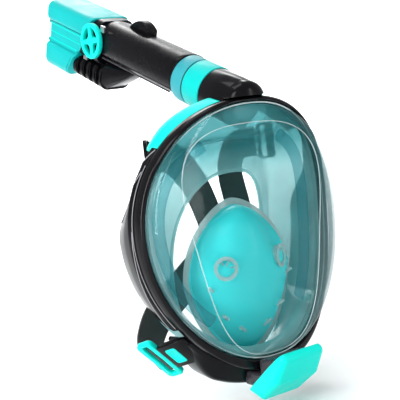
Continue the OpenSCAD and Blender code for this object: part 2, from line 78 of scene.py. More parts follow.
# ---------------------------------------------------------------- mesh helpers
def obj(name, verts, faces, mat, body="mask", rep=(), angle=35, sub=0, bevel=0.0, mirror_x=False):
    v = np.array(verts, float).reshape(-1, 3) / 1000
    if mirror_x:
        v[:, 0] *= -1; faces = [tuple(reversed(f)) for f in faces]
    me = bpy.data.meshes.new(name); me.from_pydata(v.tolist(), [], faces); me.validate(); me.update()
    import bmesh
    bm = bmesh.new(); bm.from_mesh(me); bmesh.ops.recalc_face_normals(bm, faces=bm.faces); bm.to_mesh(me); bm.free()
    me.polygons.foreach_set("use_smooth", [True] * len(me.polygons)); me.set_sharp_from_angle(angle=rad(angle))
    o = bpy.data.objects.new(name, me); C.objects.link(o)
    for m in (mat if isinstance(mat, list) else [mat]): me.materials.append(m)
    if bevel:
        b = o.modifiers.new("edge", "BEVEL"); b.width = bevel / 1000; b.segments = 3; b.limit_method = "ANGLE"; b.angle_limit = rad(32); b.harden_normals = False
        o.modifiers.new("normals", "WEIGHTED_NORMAL").keep_sharp = False
    if sub:
        s = o.modifiers.new("smooth", "SUBSURF"); s.levels = sub; s.render_levels = sub
    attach(o, body)
    if rep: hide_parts(*rep)
    return o
def skin(rows, wrap=False, cap=True):
    rows = [np.array(r, float).reshape(-1, 3) for r in rows]; m, n = len(rows), len(rows[0])
    v = np.concatenate(rows); f = []
    for i in range(m if wrap else m - 1):
        i2 = (i + 1) % m
        for j in range(n):
            j2 = (j + 1) % n; f.append((i * n + j, i * n + j2, i2 * n + j2, i2 * n + j))
    if not wrap and cap:
        for base, row, rev in ((0, rows[0], True), ((m - 1) * n, rows[-1], False)):
            c = len(v); v = np.concatenate([v, row.mean(0)[None]])
            for j in range(n):
                t = (base + j, base + (j + 1) % n, c); f.append(tuple(reversed(t)) if rev else t)
    return v, f
def loop(fn, n=180): return [fn(i * 360 / n) for i in range(n)]
def fillet(p, r, k=4):
    out = []; p = [np.array(q, float) for q in p]; n = len(p)
    for i in range(n):
        a, b, c = p[i - 1], p[i], p[(i + 1) % n]; u, w = a - b, c - b; lu, lw = np.linalg.norm(u), np.linalg.norm(w)
        d = min(r, lu * .42, lw * .42); s, e = b + u / max(lu, 1e-6) * d, b + w / max(lw, 1e-6) * d
        for q in range(k + 1):
            t = q / k; out.append((1 - t) ** 2 * s + 2 * (1 - t) * t * b + t * t * e)
    return out
def band_ring(a0, a1, m, sec, r=1.0, k=4, ease=0):
    rows = []
    for i in range(m + 1):
        a = a0 + (a1 - a0) * i / m; q = fillet(sec(a), r, k); row = np.array([ro(a, x[0], x[1]) for x in q])
        rows.append(row)
    # rounded ends
    for idx in (0, -1):
        c = rows[idx].mean(0); nb = rows[1] if idx == 0 else rows[-2]; d = rows[idx].mean(0) - nb.mean(0); d = d / np.linalg.norm(d)
        ext = [c + (rows[idx] - c) * s + d * e for s, e in ((.93, .35), (.8, .7), (.55, .9))]
        rows = (ext[::-1] + rows) if idx == 0 else rows + ext
    return skin(rows)
def rrect(x0, x1, y0, y1, r, k=8):
    p = []
    for cx, cy, a0 in ((x1 - r, y1 - r, 0), (x0 + r, y1 - r, 90), (x0 + r, y0 + r, 180), (x1 - r, y0 + r, 270)):
        for i in range(k + 1):
            s, c = sc(a0 + 90 * i / k); p.append((cx + r * c, cy + r * s))
    return p
def revolve(prof, n=128, r=.35, k=3):
    q = fillet(prof, r, k) if r else prof
    rows = [[L((x[0] * sc(a)[1], x[0] * sc(a)[0], x[1])) for x in q] for a in np.arange(n) * 360 / n]
    return skin(rows, wrap=True)
def smooth3(p, k=8):
    p = [np.array(q, float) for q in p]; o = []
    for i in range(len(p) - 1):
        a, b, c, d = p[max(0, i - 1)], p[i], p[i + 1], p[min(len(p) - 1, i + 2)]
        for j in range(k):
            t = j / k; o.append(.5 * (2 * b + (c - a) * t + (2 * a - 5 * b + 4 * c - d) * t * t + (3 * b - 3 * c + d - a) * t ** 3))
    return o + [p[-1]]

# ---------------------------------------------------------------- materials
def nt(name):
    m = bpy.data.materials.new(name); m.use_nodes = True; t = m.node_tree; b = t.nodes["Principled BSDF"]; return m, t, b
def link(t, a, b): t.links.new(a, b)
def noise(t, scale, detail=4, co=None):
    n = t.nodes.new("ShaderNodeTexNoise"); n.inputs["Scale"].default_value = scale; n.inputs["Detail"].default_value = detail
    c = t.nodes.new("ShaderNodeTexCoord"); link(t, c.outputs["Object"], n.inputs["Vector"]); return n
def ramp(t, src, a, b, p0=.35, p1=.65):
    r = t.nodes.new("ShaderNodeValToRGB"); r.color_ramp.elements[0].position = p0; r.color_ramp.elements[1].position = p1
    r.color_ramp.elements[0].color = a; r.color_ramp.elements[1].color = b; link(t, src, r.inputs["Fac"]); return r
def g4(v): return (v, v, v, 1)
def plastic(name, col, rough=.25, bump=.02, grain=900, var=.12, coat=.0, metallic=0, spec=.5, sub=0):
    m, t, b = nt(name)
    lo = [c * (1 - var) for c in col] + [1]; hi = [min(1, c * (1 + var)) for c in col] + [1]
    n = noise(t, 14, 5); r = ramp(t, n.outputs["Fac"], lo, hi); link(t, r.outputs["Color"], b.inputs["Base Color"])
    n2 = noise(t, 60, 6); r2 = ramp(t, n2.outputs["Fac"], g4(max(.02, rough - .05)), g4(rough + .07)); link(t, r2.outputs["Color"], b.inputs["Roughness"])
    n3 = noise(t, grain, 3); bp = t.nodes.new("ShaderNodeBump"); bp.inputs["Strength"].default_value = bump; bp.inputs["Distance"].default_value = .0004
    link(t, n3.outputs["Fac"], bp.inputs["Height"]); link(t, bp.outputs["Normal"], b.inputs["Normal"])
    b.inputs["Coat Weight"].default_value = coat; b.inputs["Coat Roughness"].default_value = .08
    b.inputs["Metallic"].default_value = metallic; b.inputs["Specular IOR Level"].default_value = spec
    if sub: b.inputs["Subsurface Weight"].default_value = sub; b.inputs["Subsurface Radius"].default_value = (.004, .009, .009)
    return m
def see(name, tint, rough, fac_clear, col, edge=.35, sheen=0, bump=.02, grain=700, sub=0):
    """See-through plastic or silicone: a tinted Transparent shader mixed with a glossy body by how square on it is seen."""
    m, t, b = nt(name); out = t.nodes["Material Output"]
    n = noise(t, 30, 4); r = ramp(t, n.outputs["Fac"], [c * .88 for c in col] + [1], [min(1, c * 1.08) for c in col] + [1]); link(t, r.outputs["Color"], b.inputs["Base Color"])
    b.inputs["Roughness"].default_value = rough; b.inputs["Specular IOR Level"].default_value = .5
    if sub: b.inputs["Subsurface Weight"].default_value = sub; b.inputs["Subsurface Radius"].default_value = (.003, .008, .008)
    n3 = noise(t, grain, 3); bp = t.nodes.new("ShaderNodeBump"); bp.inputs["Strength"].default_value = bump; bp.inputs["Distance"].default_value = .0003
    link(t, n3.outputs["Fac"], bp.inputs["Height"]); link(t, bp.outputs["Normal"], b.inputs["Normal"])
    tr = t.nodes.new("ShaderNodeBsdfTransparent"); tr.inputs["Color"].default_value = list(tint) + [1]
    lw = t.nodes.new("ShaderNodeLayerWeight"); lw.inputs["Blend"].default_value = .32
    mr = t.nodes.new("ShaderNodeMapRange"); mr.inputs["To Min"].default_value = 1 - fac_clear; mr.inputs["To Max"].default_value = min(1, 1 - fac_clear + edge)
    link(t, lw.outputs["Facing"], mr.inputs["Value"])
    mx = t.nodes.new("ShaderNodeMixShader"); link(t, mr.outputs["Result"], mx.inputs["Fac"]); link(t, tr.outputs[0], mx.inputs[1]); link(t, b.outputs[0], mx.inputs[2])
    link(t, mx.outputs[0], out.inputs["Surface"]); return m
def lens_mat(name, tint, low=.02):
    m, t, b = nt(name); out = t.nodes["Material Output"]
    b.inputs["Base Color"].default_value = (.004, .09, .1, 1); b.inputs["Roughness"].default_value = .035; b.inputs["Coat Weight"].default_value = 1
    n = noise(t, 9, 2); bp = t.nodes.new("ShaderNodeBump"); bp.inputs["Strength"].default_value = .02; bp.inputs["Distance"].default_value = .001
    link(t, n.outputs["Fac"], bp.inputs["Height"]); link(t, bp.outputs["Normal"], b.inputs["Normal"])
    tr = t.nodes.new("ShaderNodeBsdfTransparent"); tr.inputs["Color"].default_value = tint
    lw = t.nodes.new("ShaderNodeLayerWeight"); lw.inputs["Blend"].default_value = .3
    r = t.nodes.new("ShaderNodeMapRange"); r.inputs["To Min"].default_value = low; r.inputs["To Max"].default_value = .62; link(t, lw.outputs["Fresnel"], r.inputs["Value"])
    mx = t.nodes.new("ShaderNodeMixShader"); link(t, r.outputs["Result"], mx.inputs["Fac"]); link(t, tr.outputs[0], mx.inputs[1]); link(t, b.outputs[0], mx.inputs[2]); link(t, mx.outputs[0], out.inputs["Surface"]); return m
def webbing(name, col):
    m, t, b = nt(name); c = t.nodes.new("ShaderNodeTexCoord")
    w = t.nodes.new("ShaderNodeTexWave"); w.inputs["Scale"].default_value = 420; w.inputs["Distortion"].default_value = .6; w.bands_direction = "Z"
    w2 = t.nodes.new("ShaderNodeTexWave"); w2.inputs["Scale"].default_value = 300; w2.bands_direction = "X"; w2.inputs["Distortion"].default_value = .4
    link(t, c.outputs["Object"], w.inputs["Vector"]); link(t, c.outputs["Object"], w2.inputs["Vector"])
    mu = t.nodes.new("ShaderNodeMath"); mu.operation = "MULTIPLY"; link(t, w.outputs["Fac"], mu.inputs[0]); link(t, w2.outputs["Fac"], mu.inputs[1])
    bp = t.nodes.new("ShaderNodeBump"); bp.inputs["Strength"].default_value = .5; bp.inputs["Distance"].default_value = .0005; link(t, mu.outputs[0], bp.inputs["Height"]); link(t, bp.outputs["Normal"], b.inputs["Normal"])
    r = ramp(t, mu.outputs[0], [x * .55 for x in col] + [1], [min(1, x * 1.7) for x in col] + [1], .1, .8); link(t, r.outputs["Color"], b.inputs["Base Color"])
    b.inputs["Roughness"].default_value = .85; b.inputs["Sheen Weight"].default_value = .25; b.inputs["Sheen Roughness"].default_value = .5; return m
M_BLACK = plastic("black_gloss", (.0035, .0033, .0045), .16, .012, 1100, .3, .0, spec=.15)
M_TUBE = plastic("black_tube", (.0032, .0030, .0042), .24, .02, 1400, .3, .0, spec=.13)
M_MATTE = plastic("black_matte", (.006, .006, .007), .5, .06, 1800, .25, spec=.2)
# painted highlight: dark grey for the lines where light catches the black parts
M_GREY_HIGHLIGHT = plastic("grey_painted_highlight", (.03, .029, .035), .3, .03, 1500, .2, .0, spec=.3)
# painted highlight: light grey for the highlight lines on the black arms
M_HIGHLIGHT_LINE = plastic("edge_highlight", (.32, .32, .34), .3, .02, 1500, .1, .0, spec=.5)
M_TQ = plastic("turquoise_shell", (.002, .5, .47), .4, .02, 1200, .05, .03, spec=.14)
M_WEDGE = plastic("turquoise_bright", (.001, .74, .63), .42, .02, 1200, .05, .03, spec=.14)
M_CAP = plastic("turquoise_cap", (.003, .43, .43), .42, .03, 1500, .05, .03, spec=.16)
M_RING = plastic("ring_dull", (.03, .32, .37), .42, .05, 1500, .06, .02, spec=.3)
M_CUP = plastic("cup_silicone", (.05, .93, .96), .4, .03, 1300, .04, .08, sub=.12, spec=.4)
M_SKIRT = see("skirt_silicone", (.86, .98, .98), .3, .46, (.42, .8, .82), .35, sub=.2)
def paint_shade_up(m, z0, z1, col, tint):
    """paints shade: blends a see-through material to a deeper colour between two heights on the object, in metres"""
    t = m.node_tree; b = t.nodes["Principled BSDF"]; tr = next(n for n in t.nodes if n.type == "BSDF_TRANSPARENT")
    c = t.nodes.new("ShaderNodeTexCoord"); s = t.nodes.new("ShaderNodeSeparateXYZ"); link(t, c.outputs["Object"], s.inputs[0])
    r = t.nodes.new("ShaderNodeMapRange"); r.inputs["From Min"].default_value = z0; r.inputs["From Max"].default_value = z1; link(t, s.outputs["Z"], r.inputs["Value"])
    for node, sock, c2 in ((b, "Base Color", col), (tr, "Color", tint)):
        x = t.nodes.new("ShaderNodeMixRGB"); link(t, r.outputs["Result"], x.inputs["Fac"]); x.inputs["Color2"].default_value = list(c2) + [1]
        if node.inputs[sock].is_linked: link(t, node.inputs[sock].links[0].from_socket, x.inputs["Color1"])
        else: x.inputs["Color1"].default_value = tuple(node.inputs[sock].default_value)
        link(t, x.outputs["Color"], node.inputs[sock])
# painted shade: the skirt turns a deeper teal high up, in the recess under the brow where shade falls
paint_shade_up(M_SKIRT, .076, .104, (.06, .36, .39), (.42, .76, .78))
M_DUCT = see("duct_plastic", (.78, .94, .96), .16, .84, (.05, .36, .42), .3)
M_CLEAR = see("clear_fitting", (.93, .98, .98), .1, .5, (.75, .86, .86), .4)
M_FLAP = see("flap_silicone", (.85, .96, .96), .3, .35, (.6, .75, .75), .4)
M_SEAL = plastic("seal_black", (.006, .006, .006), .6, .05, 1500, .2)
M_FLOAT = plastic("float_white", (.75, .75, .72), .55, .06, 1300, .04)
M_RED = plastic("seal_red", (.45, .04, .03), .5, .04, 1300, .08)
M_STEEL = plastic("brushed_metal", (.6, .6, .62), .3, .05, 1600, .08, metallic=1)
M_STRAP = webbing("strap_webbing", (.017, .017, .015))
M_LENS = lens_mat("lens_clear", (.965, .995, .995, 1)); M_LENS_W = lens_mat("lens_wall", (.95, .99, .99, 1), .07)
SLOT = {"frame_black": M_BLACK, "shell_turquoise": M_TQ, "ring_dull": M_RING, "skirt_silicone": M_SKIRT, "duct_teal": M_DUCT, "cup_silicone": M_CUP, "clear_fitting": M_CLEAR,
        "flap_silicone": M_FLAP, "seal_black": M_SEAL, "float_white": M_FLOAT, "seal_red": M_RED, "clip_metal": M_STEEL, "strap_web": M_STRAP, "lens_clear": M_LENS}
for s in frame["record"]["subparts"]:
    o = frame["nodes"][s["node"]]; o.data.materials.clear(); o.data.materials.append(SLOT[s["material_slot"]])
    o.data.set_sharp_from_angle(angle=rad(30))

# ---------------------------------------------------------------- lens and frame
ts = [i / 22 for i in range(23)]
rows = [loop(lambda a, k=k: pg(a, k)) for k in (.04, .3, .6, .85, .96, .985)]
rows += [loop(lambda a, t=t: wall(pg(a, 1), rg(a), t)) for t in ts]
nw = len(rows)
rows += [loop(lambda a: ro(a, 0, .45 * dep(a))), loop(lambda a: ro(a, -LT, .45 * dep(a)))]
rows += [loop(lambda a, t=t: wall(pg(a, .972) + [0, LT, 0], ro(a, -LT, 0), t)) for t in ts[::-1][::2]]
rows += [loop(lambda a, k=k: pg(a, k) + [0, LT, 0]) for k in (.94, .6, .3, .04)]
v, f = skin(rows)
o = obj("lens_shell", v, f, [M_LENS, M_LENS_W], rep=["lens"], angle=50)
n = 180
o.data.polygons.foreach_set("material_index", [1 if 6 <= i // n <= nw + 12 and i < (len(rows) - 1) * n else 0 for i in range(len(o.data.polygons))])
# raised bead where the front panel turns into the wall
def tube(name, pts, r, mat, k=8, closed=False, body="mask", rep=()):
    pts = [np.array(p, float) for p in pts]; m = len(pts); rws = []
    up = np.array([0, 1, 0.01])
    for i in range(m):
        tg = pts[(i + 1) % m] - pts[i - 1] if closed else pts[min(m - 1, i + 1)] - pts[max(0, i - 1)]
        tg = tg / np.linalg.norm(tg); x = np.cross(tg, up); x /= np.linalg.norm(x); y = np.cross(tg, x)
        rws.append([pts[i] + r * (x * sc(q * 360 / k)[1] + y * sc(q * 360 / k)[0]) for q in range(k)])
    vv, ff = skin(rws, wrap=closed); return obj(name, vv, ff, mat, body, rep, angle=80)
tube("lens_panel_bead", [pg(a, .995) + [0, -.15, 0] for a in np.arange(0, 360, 2)], .36, M_CLEAR, closed=True)
tube("lens_rim_bead", [ro(a, -.8, -1.2) for a in np.arange(0, 360, 2)], .6, M_CLEAR, closed=True)

def rim_sec(a):
    w = RW + 5.5 * max(0, -sc(a)[0]) ** 4; d = dep(a)
    return [(.35, .3), (1.6, -3), (w - 1.2, -2.6), (w + .6, -.6), (w + 1.2, d * .5), (w + 1.2, d), (.35, d)]
rws = [[ro(a, q[0], q[1]) for q in fillet(rim_sec(a), 1.1, 4)] for a in np.arange(0, 360, 1.5)]
v, f = skin(rws, wrap=True); obj("frame_rim", v, f, M_BLACK, rep=["front_frame"], angle=60)

def brow_D(b): return 37 * (1 - cl(b / 60) ** 2.6)
def brow_sec(a):
    D = brow_D(90 - a); d = dep(a) + .4
    return [(3.2, d), (5.4, d), (9.1, d + D * .35 + .5), (6.8, d + D * .7 + 1), (2.8, d + D + 1.5), (.3, d + D + 1.2), (4.3, d + D * .7 + .6), (6.4, d + D * .35 + .5)]
v, f = band_ring(43, 79, 60, brow_sec, 2.2)
obj("brow_right", v, f, M_WEDGE, rep=["brow_cover_right"], angle=55)
obj("brow_left", v, f, M_WEDGE, rep=["brow_cover_left"], angle=55, mirror_x=True)
def arm_D(e): return 44 - 23 * sm(-e / 24) - 6 * sm((-e - 24) / 14) if e < 0 else 44 + 2 * sm(e / 30)
def arm_n(e): return 3.5 - 4 * sm((e + 30) / 30)
def arm_sec(a):
    e = -a; D, fr, nn = arm_D(e), dep(a) + .4, arm_n(e)
    return [(5.4, fr), (7.4, fr + 5), (lerp(9.4, nn, .45), lerp(fr, D, .5)), (nn, D), (nn - 2.8, D - 1), (lerp(9.4, nn, .45) - 3, lerp(fr, D, .5)), (4.2, fr + 5), (2.6, fr)]
v, f = band_ring(42.5, -37, 80, arm_sec, 1.6)
obj("arm_right", v, f, M_BLACK, rep=["side_arm_right"], angle=40)
obj("arm_left", v, f, M_BLACK, rep=["side_arm_left"], angle=40, mirror_x=True)
def arm_at(a, u, lift=0.0):
    """a point on the arm's outer face: u 0 at the front edge, 1 at the back edge"""
    q = [np.array(x, float) for x in arm_sec(a)[:4]]; t = cl(u) * 3; i_ = min(2, int(t)); p = lerp(q[i_], q[i_ + 1], t - i_)
    return ro(a, p[0] + lift, p[1])
# painted highlights: thin light grey tubes along the black arms' outer faces stand in for the highlight lines that
# light draws there
LINES = {"a": [(42, .02), (36, .3), (28, .7), (21, .98)], "b": [(31, .12), (22, .45), (14, .8), (9, .97)], "c": [(34, .06), (10, .07), (-15, .08), (-36, .09)], "d": [(6, .1), (-12, .3), (-24, .4), (-36, .48)]}
for k_, path in LINES.items():
    aa = np.interp(np.linspace(0, 1, 60), np.linspace(0, 1, 4), [p[0] for p in path]); uu = np.interp(np.linspace(0, 1, 60), np.linspace(0, 1, 4), [p[1] for p in path])
    for sx in (1, -1):
        tube(f"arm_highlight_line_{k_}_{'r' if sx > 0 else 'l'}", [arm_at(a, u, .12) * [sx, 1, 1] for a, u in zip(aa, uu)], .42 if k_ != "c" else .34, M_HIGHLIGHT_LINE)

# ---------------------------------------------------------------- skirt, ducts, cup
def sB(a):
    s0, c0 = sc(a); s, c = sp(s0, .87), sp(c0, .87); return np.array([80 * (1 + .05 * s) * c, 34 - 44 * s * s, 14 + 98 * s])
def sE(a):
    s0, c0 = sc(a); s, c = sp(s0, .75), sp(c0, .75); return np.array([54 * (1 - .1 * s) * c, 12 - 28 * s * s, 83 * s])
def tp(a): return max(0, sc(a)[0]) ** 5
def sD(a): return ro(a, -6 - 18.5 * tp(a), lerp(16, 8.6, tp(a)))
Z3 = np.array([0, 0, 1.0]); Y3 = np.array([0, 1.0, 0])
key = [lambda a: ro(a, -.5, .5 * dep(a) + .2), lambda a: ro(a, -.5, dep(a) - .3), sD,
       lambda a: lerp(sD(a), sB(a), .5) + rn(a) * 2 * (1 - tp(a)) - Z3 * 1.5 * tp(a), sB, lambda a: lerp(sB(a), sE(a), .5) + Y3 * 2, sE]
def sk(a):
    p = [k(a) for k in key]; o = smooth3(p[1:], 6); o = [p[0]] + o
    inn = []
    for i, q in enumerate(o):
        tg = o[min(len(o) - 1, i + 1)] - o[max(0, i - 1)]; tg = tg / np.linalg.norm(tg)
        b = np.cross(tg, np.cross(rn(a), Y3)); b = b / np.linalg.norm(b)
        ctr = np.array([0, 10, 20]); 
        inn.append(q + b * ST * .5 * (1 if np.dot(b, q - ctr) < 0 else -1) if False else q)
    return o
rows = [sk(a) for a in np.arange(0, 360, 2)]
m_ = len(rows); k_ = len(rows[0]); v = np.array(rows).reshape(-1, 3)
f = [(i * k_ + j, ((i + 1) % m_) * k_ + j, ((i + 1) % m_) * k_ + j + 1, i * k_ + j + 1) for i in range(m_) for j in range(k_ - 1)]
o = obj("skirt", v, f, M_SKIRT, rep=["face_skirt"], angle=70)
so = o.modifiers.new("wall", "SOLIDIFY"); so.thickness = ST / 1000; so.offset = -1
tube("skirt_lip", [sE(a) for a in np.arange(0, 360, 2)], 1.5, M_SKIRT, closed=True)
def duct_sec(a):
    k = 16 + 4 * sm((a - 30) / 30); return [(-k, 4), (-k + 3.4, 6), (-k + 3.4, 9.5), (-k, 11.5), (-k - 4.6, 11.5), (-k - 8, 9.5), (-k - 8, 6), (-k - 4.6, 4)]
v, f = band_ring(60, -48, 90, duct_sec, 2); obj("duct_right", v, f, M_DUCT, rep=["air_duct_right"], angle=60); obj("duct_left", v, f, M_DUCT, rep=["air_duct_left"], angle=60, mirror_x=True)
def cupc(a, k, y, z0):
    # outline: narrow rounded bridge above, cheeks at z -6, tapering to the chin
    u, c0 = sc(a)
    if u > 0:
        wx = CUPA * (1 - .10 * u) * sp(c0, 1.25); wz = 60 * sp(u, .95)
    else:
        wx = CUPA * (1 + .12 * u) * sp(c0, 1.12); wz = 70 * sp(u, 1.0)
    return np.array([wx * k, y, z0 + k * wz])
def cup_k(t): return max(0, 1 - t ** 1.9) ** (1 / 1.9)
def cup_pt(a, t):
    """dome with a nose ridge that stands out on the centre line above and falls to the mouth"""
    k = max(.02, cup_k(t)); p = cupc(a, k, -13 - 29 * t, lerp(-8, 4, t)); x, y, z = p
    ridge = math.exp(-(x / 15.0) ** 2) * sm((z + 12) / 30) * (1 - sm((z - 34) / 18)); flank = math.exp(-((abs(x) - 32) / 14.0) ** 2) * sm((z + 4) / 24)
    y = y - 2.2 * ridge * t + 5.5 * flank * sm(t * 1.8); y = max(y, -44.3)
    return np.array([x, y, z])
rows = [loop(lambda a, t=t: cup_pt(a, t), 160) for t in (0, .04, .12, .2, .3, .4, .5, .6, .7, .78, .85, .91, .95, .98, .996)]
v = np.array(rows).reshape(-1, 3); f = [(i * 160 + j, i * 160 + (j + 1) % 160, (i + 1) * 160 + (j + 1) % 160, (i + 1) * 160 + j) for i in range(len(rows) - 1) for j in range(160)] + [tuple(14 * 160 + j for j in range(160))]
o = obj("cup", v, f, M_CUP, rep=["nose_cup"], angle=80)
so = o.modifiers.new("wall", "SOLIDIFY"); so.thickness = .0024; so.offset = -1
tube("cup_edge", [cupc(a, 1, -13, -8) for a in np.arange(0, 360, 3)], 1.6, M_CUP, closed=True)
# clear flange round the cup
rows = [loop(lambda a, k=k, y=y: cupc(a, k, y, -8), 160) for k, y in ((.985, -14.2), (1.1, -13.2), (1.12, -12.2), (.985, -12.4))]
v, f = skin(np.array(rows).transpose(1, 0, 2), wrap=True); obj("cup_flange", v, f, M_FLAP, angle=60)

# ---------------------------------------------------------------- snorkel
def t2(o, n=96): return [((20.3 - o) * sp(sc(i * 360 / n)[1], .8), (19.4 - o) * sp(sc(i * 360 / n)[0], .8) - 2.5) for i in range(n)]
def extr(prof_z): return [[L((x, y, z)) for x, y in p] for p, z in prof_z]
pz = [(t2(2.4), 79.4), (t2(2.2), 78.6), (t2(.5), 78.6), (t2(0), 79.2)] + [(t2(0), z) for z in np.linspace(84, 200, 14)] + [(t2(0), 205), (t2(.5), 205.6), (t2(2.2), 205.6), (t2(2.4), 204.8)] + [(t2(2.4), z) for z in (180, 120)]
v, f = skin(extr(pz), wrap=True); obj("tube_body", v, f, M_TUBE, "snorkel", ["snorkel_tube"], angle=50)
# painted highlight: dark grey line along the lower edge of the tube
for sx in (-1, 1):
    tube(f"tube_highlight_line_{'l' if sx < 0 else 'r'}", [L((sx * 17.6, 12.4, z)) for z in np.linspace(84, 200, 20)], .9, M_GREY_HIGHLIGHT, body="snorkel")
extra = []
def ring(name, prof, mat, body, rep, r=.4):
    v, f = revolve(prof, r=r); return obj(name, v, f, mat, body, rep, angle=40)
ring("socket", [(17.1, 3.9), (SR, 3.9), (SR, 37.8), (19.4, 37.8), (19.4, 61.6), (17.1, 61.6)], M_BLACK, "mask", ["snorkel_socket"])
ring("collar", [(19.45, 38.1), (CR, 38.1), (CR, 61.6), (19.45, 61.6)], M_TQ, "mask", ["lock_collar"], .8)
ring("ring_upper", [(14, 44), (15.4, 44), (15.8, 45), (15.8, 63.3), (CR, 63.3), (CR, 78.4), (14, 78.4)], M_RING, "snorkel_plug", ["tube_ring"], .7)

ring("port_gasket", [(17.2, 1.2), (19, 1), (19, 3.4), (17.2, 3.6)], M_SEAL, "mask", ["port_seal"], .3)
# gap ring between the two collars
ring("collar_gap", [(18.4, 61.7), (21.0, 61.7), (21.0, 63.2), (18.4, 63.2)], M_SEAL, "snorkel_plug", [], .2)
# hood dome over the port
rows = []
for i in range(0, 19):
    q = i * 5.0; r_, z_ = SR * sc(q)[0], -12 * sc(q)[1]
    rows.append((max(r_, .6), z_))
prof = rows + [(SR, 3.4), (19.3, 3.6)]
n_ = 128; grid = [[L((r_ * sc(a)[1], r_ * sc(a)[0], z_)) for a in np.arange(n_) * 360 / n_] for r_, z_ in prof]
g = np.array(grid); zc = 143.4
for row in g:
    for p in row:
        if p[1] < -44.6 and p[2] < 147.2: p[2] = 147.2 if p[1] < -46 else max(p[2], 146.6)
        elif p[2] < 147.2: p[2] = max(p[2], 147.2 - 30 * cl((p[1] + 44.6) / 6))
v = g.reshape(-1, 3); f = [(i * n_ + j, i * n_ + (j + 1) % n_, (i + 1) * n_ + (j + 1) % n_, (i + 1) * n_ + j) for i in range(len(grid) - 1) for j in range(n_)] + [tuple(range(n_ - 1, -1, -1))]
obj("hood_dome", v, f, M_BLACK, "mask", ["port_hood"], angle=60)

# ---------------------------------------------------------------- dry top
def slant_s(y): return CAPS + .62 * y
def ext_poly(name, poly, z0, z1, mat, body, rep, top=None, r=.8, wall_t=None, angle=42, steps=10, bot=None):
    """extruded outline with eased ends; top/bot give the end plane as a function of y"""
    rows = []; cx = sum(p[0] for p in poly) / len(poly); cy = sum(p[1] for p in poly) / len(poly)
    def row(z, o, t):
        out = []
        n = len(poly)
        for i, (x, y) in enumerate(poly):
            a_, b_ = np.array(poly[i - 1]), np.array(poly[(i + 1) % n]); tg = b_ - a_; l = np.linalg.norm(tg); nn = np.array([tg[1], -tg[0]]) / (l if l > 1e-6 else 1)
            xx, yy = x - nn[0] * o, y - nn[1] * o
            za = bot(yy) if bot else z0; zb = top(yy) if top else z1
            out.append(L((xx, yy, za + (zb - za) * t if z is None else z)))
        return out
    rows = []
    for o, e in ((r, 0), (r * .3, .12 * r), (0, r * .8)):
        rows.append([(o, 0, e)])
    seq = [(r, 0, 0), (r * .35, 0, r * .15), (0, 0, r)] + [(0, t, 0) for t in np.linspace(.04, .96, steps)] + [(0, 1, -r), (r * .35, 1, -r * .15), (r, 1, 0)]
    out = []
    n = len(poly)
    nor = []
    for i in range(n):
        a_, b_ = np.array(poly[i - 1], float), np.array(poly[(i + 1) % n], float); tg = b_ - a_; l = np.linalg.norm(tg); nor.append(np.array([tg[1], -tg[0]]) / (l if l > 1e-6 else 1))
    for o_, t, e in seq:
        rw = []
        for i, (x, y) in enumerate(poly):
            xx, yy = x - nor[i][0] * o_, y - nor[i][1] * o_
            za = bot(yy) if bot else z0; zb = top(yy) if top else z1
            rw.append(L((xx, yy, lerp(za, zb, t) + e)))
        out.append(rw)
    v, f = skin(out, cap=True)
    return obj(name, v, f, mat, body, rep, angle=angle)
body_poly = rrect(-20.4, 20.4, -22, 22, 9)
ext_poly("top_body", body_poly, 205.8, 0, M_TUBE, "snorkel", ["dry_top_body"], top=lambda y: slant_s(y) - .4, r=.9)
def lobe_outline(o=0):
    # one closed outline, anticlockwise: lower lobe (+Y), flat web, upper lobe (-Y)
    def arc(cx, cy, r, a0, a1, k=10): return [(cx + r * sc(lerp(a0, a1, i / k))[1], cy + r * sc(lerp(a0, a1, i / k))[0]) for i in range(k + 1)]
    X, W = 25 - o, 20.5 - o
    p = arc(X - 11, 37 - o, 11, 0, 90) + arc(-X + 11, 37 - o, 11, 90, 180)
    p += arc(-X + 6, 26.5, 6, 180, 262, 6) + arc(-W - 1.6, 18.9, 1.6, 80, 0, 4)
    p += [(-W, 12), (-W, 5)] + arc(-W - 1.6, .6, 1.6, 0, -80, 4) + arc(-X + 6, -7, 6, 98, 180, 6)
    p += arc(-X + 9, -13.5 + o, 9, 180, 270) + arc(X - 9, -13.5 + o, 9, 270, 360) + arc(X - 6, -7, 6, 0, 82, 6)
    p += arc(W + 1.6, .6, 1.6, 260, 180, 4) + [(W, 5), (W, 12)] + arc(W + 1.6, 18.9, 1.6, 180, 100, 4) + arc(X - 6, 26.5, 6, -82, 0, 6)
    return p
ext_poly("cap", lobe_outline(0), 0, CAPE, M_CAP, "snorkel", ["dry_top_cap"], bot=lambda y: slant_s(y), r=2.6, steps=16, angle=32)
for i, yy in enumerate((1.5, 9.5, 17.5)):
    for sx in (-1, 1):
        tube(f"cap_line_{i}_{'l' if sx < 0 else 'r'}", [L((sx * 20.5, yy, z)) for z in np.linspace(slant_s(yy) + 3, CAPE - 3, 12)], .55, M_WEDGE, body="snorkel")
first = True
for i in range(5):
    z0 = 200 + i * 10.6; y1 = 47 - .8 * i; x1 = 17.5 + i
    z1 = min(z0 + 6.6, 257)
    ext_poly(f"intake_rib_{i}", rrect(-x1, x1, 22.2, y1, 9), z0, z1, M_BLACK, "snorkel", ["intake_grille"] if first else [], top=(lambda y, z1=z1: min(z1, slant_s(y) - .5)), bot=(lambda y, z0=z0: min(z0, slant_s(y) - 2.6)), r=1.7, steps=4, angle=60); first = False
ext_poly("intake_core", rrect(-12, 12, 22.2, 41, 5), 198, 256, M_MATTE, "snorkel", [], top=lambda y: slant_s(y) - .5, r=.5)
